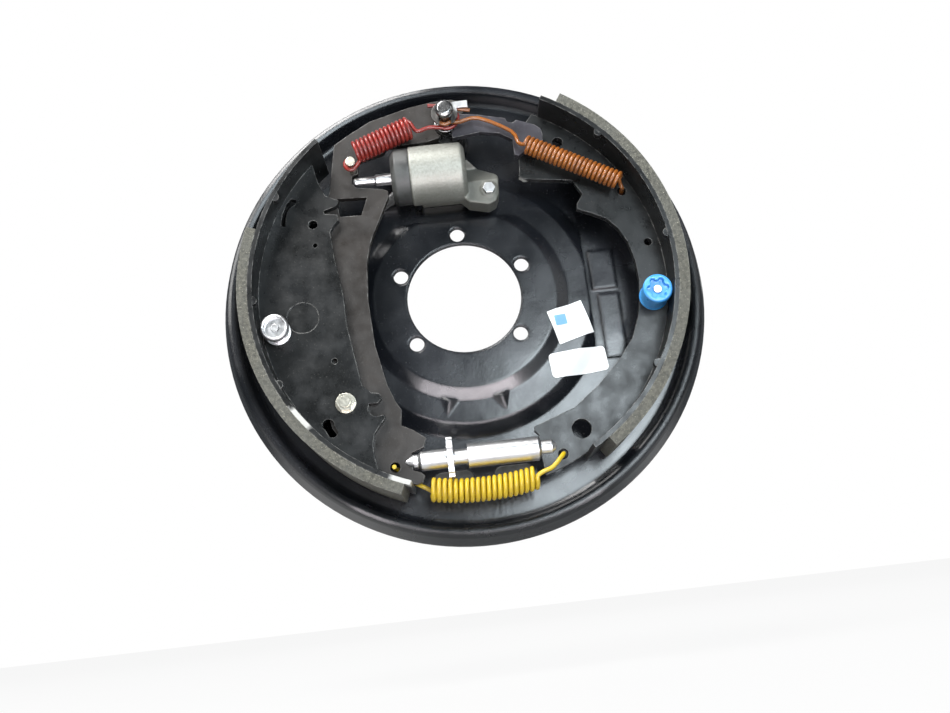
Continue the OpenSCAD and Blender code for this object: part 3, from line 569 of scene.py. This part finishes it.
labels = {
    "squareLabel": {
        "middle": (73.7, -26.2), "size": (26.8, 25.0), "turn": 15.5, "corner": 0.5, "lift": 0.3,
        "finish": finishes["label_paper"],
    },
    "squareLabelPatch": {
        "middle": (66.9, -24.0), "size": (8.6, 7.3), "turn": 9.0, "corner": 0.2, "lift": 0.5,
        "finish": labelPaper("labelBluePatch", tone(0.2, 0.46, 0.9), tone(0.24, 0.44, 0.8)),
    },
    "roundedLabel": {
        "middle": (76.0, -55.4), "size": (41.5, 18.0), "turn": 5.0, "corner": 3.0, "lift": 0.3,
        "finish": finishes["label_paper"],
    },
}
labelSheet = {"grid": 1.2, "thick": 0.12, "standOff": 30.0, "cornerSteps": 5, "rounds": 3}


def divideSheet(width, height):
    # fine enough to follow the plate's steps
    for length, across in ((width, (1, 0, 0)), (height, (0, 1, 0))):
        count = round(length / (labelSheet["grid"] / 1000))
        for i in range(1, count):
            at = length * (i / count - 0.5)
            bpy.ops.mesh.select_all(action="SELECT")
            bpy.ops.mesh.bisect(plane_co=[at * v for v in across], plane_no=across)


def layLabel(name, s):
    width, height = (v / 1000 for v in s["size"])
    clearSelection()
    bpy.ops.mesh.primitive_plane_add(size=1.0, location=(0, 0, 0))
    sheet = bpy.context.object
    sheet.name = name
    bpy.ops.object.mode_set(mode="EDIT")
    bpy.ops.mesh.select_all(action="SELECT")
    bpy.ops.transform.resize(value=(width, height, 1.0))
    bpy.ops.mesh.bevel(offset=s["corner"] / 1000, segments=labelSheet["cornerSteps"], affect="VERTICES")
    divideSheet(width, height)
    bpy.ops.mesh.select_all(action="SELECT")
    bpy.ops.transform.rotate(value=math.radians(-90), orient_axis="X", center_override=(0, 0, 0))
    bpy.ops.transform.rotate(value=math.radians(s["turn"]), orient_axis="Y", center_override=(0, 0, 0))
    x, z = s["middle"]
    bpy.ops.transform.translate(value=(x / 1000, -labelSheet["standOff"] / 1000, z / 1000))
    bpy.ops.object.mode_set(mode="OBJECT")
    drape = sheet.modifiers.new("drape", "SHRINKWRAP")
    drape.target = nodes["backing_plate"]
    drape.wrap_method = "PROJECT"
    drape.use_project_y = True
    drape.use_positive_direction = True
    drape.offset = s["lift"] / 1000
    relax = sheet.modifiers.new("relax", "SMOOTH")
    relax.use_x = relax.use_z = False
    relax.iterations = labelSheet["rounds"]
    thicken = sheet.modifiers.new("thicken", "SOLIDIFY")
    thicken.thickness = labelSheet["thick"] / 1000
    thicken.offset = 1.0
    applyAll(sheet)
    bpy.ops.object.shade_smooth_by_angle(angle=math.radians(meshSettings["labelEdge"]))
    return sheet


for name, s in labels.items():
    sheet = layLabel(name, s)
    dress(sheet, s["finish"])
    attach(sheet, nodes["backing_plate"]["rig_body"])
print("stage: labels")


# Floor, backdrop and soft light

stageSettings = {
    "floor": -0.262, "floorSize": 14.0, "floorTone": tone(0.5), "floorShade": tone(0.46), "floorWhite": 0.92,
    "worldTone": tone(0.86, 0.93, 1.0), "worldStrength": 0.11,
}


def floorFinish():
    s = stageSettings
    f = Finish("paleFloor")
    tint = f.mix(f.noise(3.0, 2.0) * 0.3, s["floorTone"], s["floorShade"])
    shade = f.node("ShaderNodeBsdfPrincipled", None, {"Base Color": tint, "Roughness": 0.85})
    plain = f.node("ShaderNodeEmission", None, {"Color": tone(1.0), "Strength": 1.0})
    seen = f.node("ShaderNodeLightPath", out="Is Camera Ray")
    return f.shade(f.node("ShaderNodeMixShader", None, {0: seen * s["floorWhite"], 1: shade, 2: plain}))


clearSelection()
bpy.ops.mesh.primitive_plane_add(size=stageSettings["floorSize"], location=(0, 0, stageSettings["floor"]))
floor = bpy.context.object
floor.name = "paleFloor"
dress(floor, floorFinish())

lamps = [
    # place, aim, width, power, colour
    ((-1.2, -1.15, 0.85), (0, 0, 0), 0.7, 15, (1.0, 1.0, 0.98)),
    ((-0.42, -0.78, 1.15), (0, -0.05, 0), 0.6, 27, (1.0, 0.99, 0.98)),
    ((1.3, -0.8, 0.6), (0, 0, 0), 0.8, 2.5, (1.0, 1.0, 1.0)),
    ((0.1, 1.1, 0.9), (0, 0, 0), 1.2, 8, (1.0, 1.0, 1.0)),
    ((0.34, -1.25, 0.06), (0, 0, -0.05), 0.5, 12, (0.84, 0.94, 1.0)),
]
# Low soft panel in front, which the gloss paint mirrors on its downward slopes
lowPanel = {
    "place": (-0.02, -0.37, -0.25), "size": (0.44, 0.16), "power": 3.4, "colour": (1.0, 0.93, 0.98),
}


def addLamp(place, width, power, colour):
    clearSelection()
    bpy.ops.object.light_add(type="AREA", location=place)
    lamp = bpy.context.object
    lamp.data.size = width
    lamp.data.energy = power
    lamp.data.color = colour
    return lamp


for place, aim, width, power, colour in lamps:
    lamp = addLamp(place, width, power, colour)
    lamp.rotation_euler = (Vector(aim) - Vector(place)).to_track_quat("-Z", "Y").to_euler()
panel = addLamp(lowPanel["place"], lowPanel["size"][0], lowPanel["power"], lowPanel["colour"])
panel.data.shape = "RECTANGLE"
panel.data.size_y = lowPanel["size"][1]
panel.rotation_euler = (math.pi, 0, 0)
panel.visible_diffuse = False  # gloss only
panel.visible_camera = False


def lightWorld():
    world = bpy.data.worlds.new("paleRoom")
    bpy.context.scene.world = world
    world.use_nodes = True
    tree = world.node_tree
    tree.nodes.clear()
    path = tree.nodes.new("ShaderNodeLightPath")
    room = tree.nodes.new("ShaderNodeBackground")
    room.inputs["Color"].default_value = stageSettings["worldTone"]
    room.inputs["Strength"].default_value = stageSettings["worldStrength"]
    white = tree.nodes.new("ShaderNodeBackground")
    white.inputs["Color"].default_value = tone(1.0)
    mixer = tree.nodes.new("ShaderNodeMixShader")
    out = tree.nodes.new("ShaderNodeOutputWorld")
    tree.links.new(path.outputs["Is Camera Ray"], mixer.inputs[0])
    tree.links.new(room.outputs[0], mixer.inputs[1])
    tree.links.new(white.outputs[0], mixer.inputs[2])
    tree.links.new(mixer.outputs[0], out.inputs["Surface"])


lightWorld()
bpy.context.scene.view_settings.view_transform = "Standard"
print("stage: floor and light")
